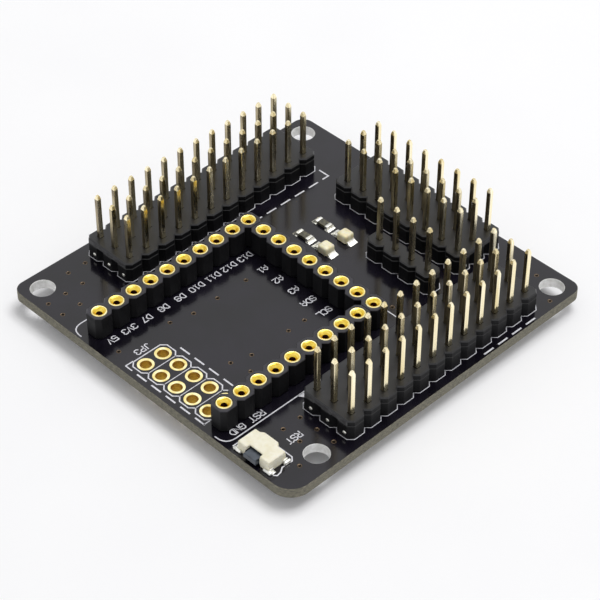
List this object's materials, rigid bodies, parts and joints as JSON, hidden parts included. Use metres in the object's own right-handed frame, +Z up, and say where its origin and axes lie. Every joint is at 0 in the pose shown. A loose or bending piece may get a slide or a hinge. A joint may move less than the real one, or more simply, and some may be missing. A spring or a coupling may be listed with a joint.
{
  "type": "microcontroller expansion board",
  "caption": "Black microcontroller expansion board with a U of turned-pin sockets, blocks of square-pin headers, indicator lights and a side-pressed reset switch.",
  "frame": {"origin": "below the middle of the board, at the height of the lowest pin tails, on which it stands", "axes": "+Z up from the component side; +X from the left header to the right header; +Y from the reset-switch edge to the rear header"},
  "size_m": [0.0458, 0.047, 0.0116],
  "materials": {
    "solder_mask_board": "semi-gloss black solder mask over glass laminate",
    "header_nylon": "satin black moulded housing with gold-plated square pins",
    "socket_nylon": "satin black moulded strip",
    "gold_pins": "pale gold flash plating, satin",
    "gold_contacts": "bright gold plating",
    "white_laminate": "matt white chip base",
    "cream_epoxy": "translucent cream epoxy",
    "dark_ceramic": "dark glazed ceramic with tinned ends",
    "ivory_plastic": "satin ivory thermoplastic",
    "dark_plastic": "satin dark grey thermoplastic",
    "spring_steel": "bright spring steel",
    "tin_plate": "bright tin-plated brass"
  },
  "bodies": {
    "board": {"circuit_board": "solder_mask_board", "led_base_front": "white_laminate", "led_base_rear": "white_laminate", "led_lens_front": "cream_epoxy", "led_lens_rear": "cream_epoxy", "left_header": "header_nylon", "rear_header": "header_nylon", "resistor_front": "dark_ceramic", "resistor_rear": "dark_ceramic", "right_header": "header_nylon", "small_header_housing": "header_nylon", "small_header_pin_1": "gold_pins", "small_header_pin_2": "gold_pins", "small_header_pin_3": "gold_pins", "small_header_pin_4": "gold_pins", "socket_contact_01": "gold_contacts", "socket_contact_02": "gold_contacts", "socket_contact_03": "gold_contacts", "socket_contact_04": "gold_contacts", "socket_contact_05": "gold_contacts", "socket_contact_06": "gold_contacts", "socket_contact_07": "gold_contacts", "socket_contact_08": "gold_contacts", "socket_contact_09": "gold_contacts", "socket_contact_10": "gold_contacts", "socket_contact_11": "gold_contacts", "socket_contact_12": "gold_contacts", "socket_contact_13": "gold_contacts", "socket_contact_14": "gold_contacts", "socket_contact_15": "gold_contacts", "socket_contact_16": "gold_contacts", "socket_contact_17": "gold_contacts", "socket_contact_18": "gold_contacts", "socket_contact_19": "gold_contacts", "socket_contact_20": "gold_contacts", "socket_contact_21": "gold_contacts", "socket_contact_22": "gold_contacts", "socket_contact_23": "gold_contacts", "socket_contact_24": "gold_contacts", "socket_contact_25": "gold_contacts", "socket_contact_26": "gold_contacts", "socket_contact_27": "gold_contacts", "socket_strip_cross": "socket_nylon", "socket_strip_left": "socket_nylon", "socket_strip_right": "socket_nylon", "switch_base": "ivory_plastic", "switch_cover": "ivory_plastic", "switch_dome": "spring_steel", "switch_terminal_front_left": "tin_plate", "switch_terminal_front_right": "tin_plate", "switch_terminal_rear_left": "tin_plate", "switch_terminal_rear_right": "tin_plate"},
    "reset_button": {"switch_plunger": "dark_plastic"}
  },
  "joints": [
    {"name": "reset_button_press", "type": "slide", "parent": "board", "child": "reset_button", "axis": [0, 1, 0], "range_m": [0, 0.00025], "stiffness_N_per_m": 6000}
  ]
}
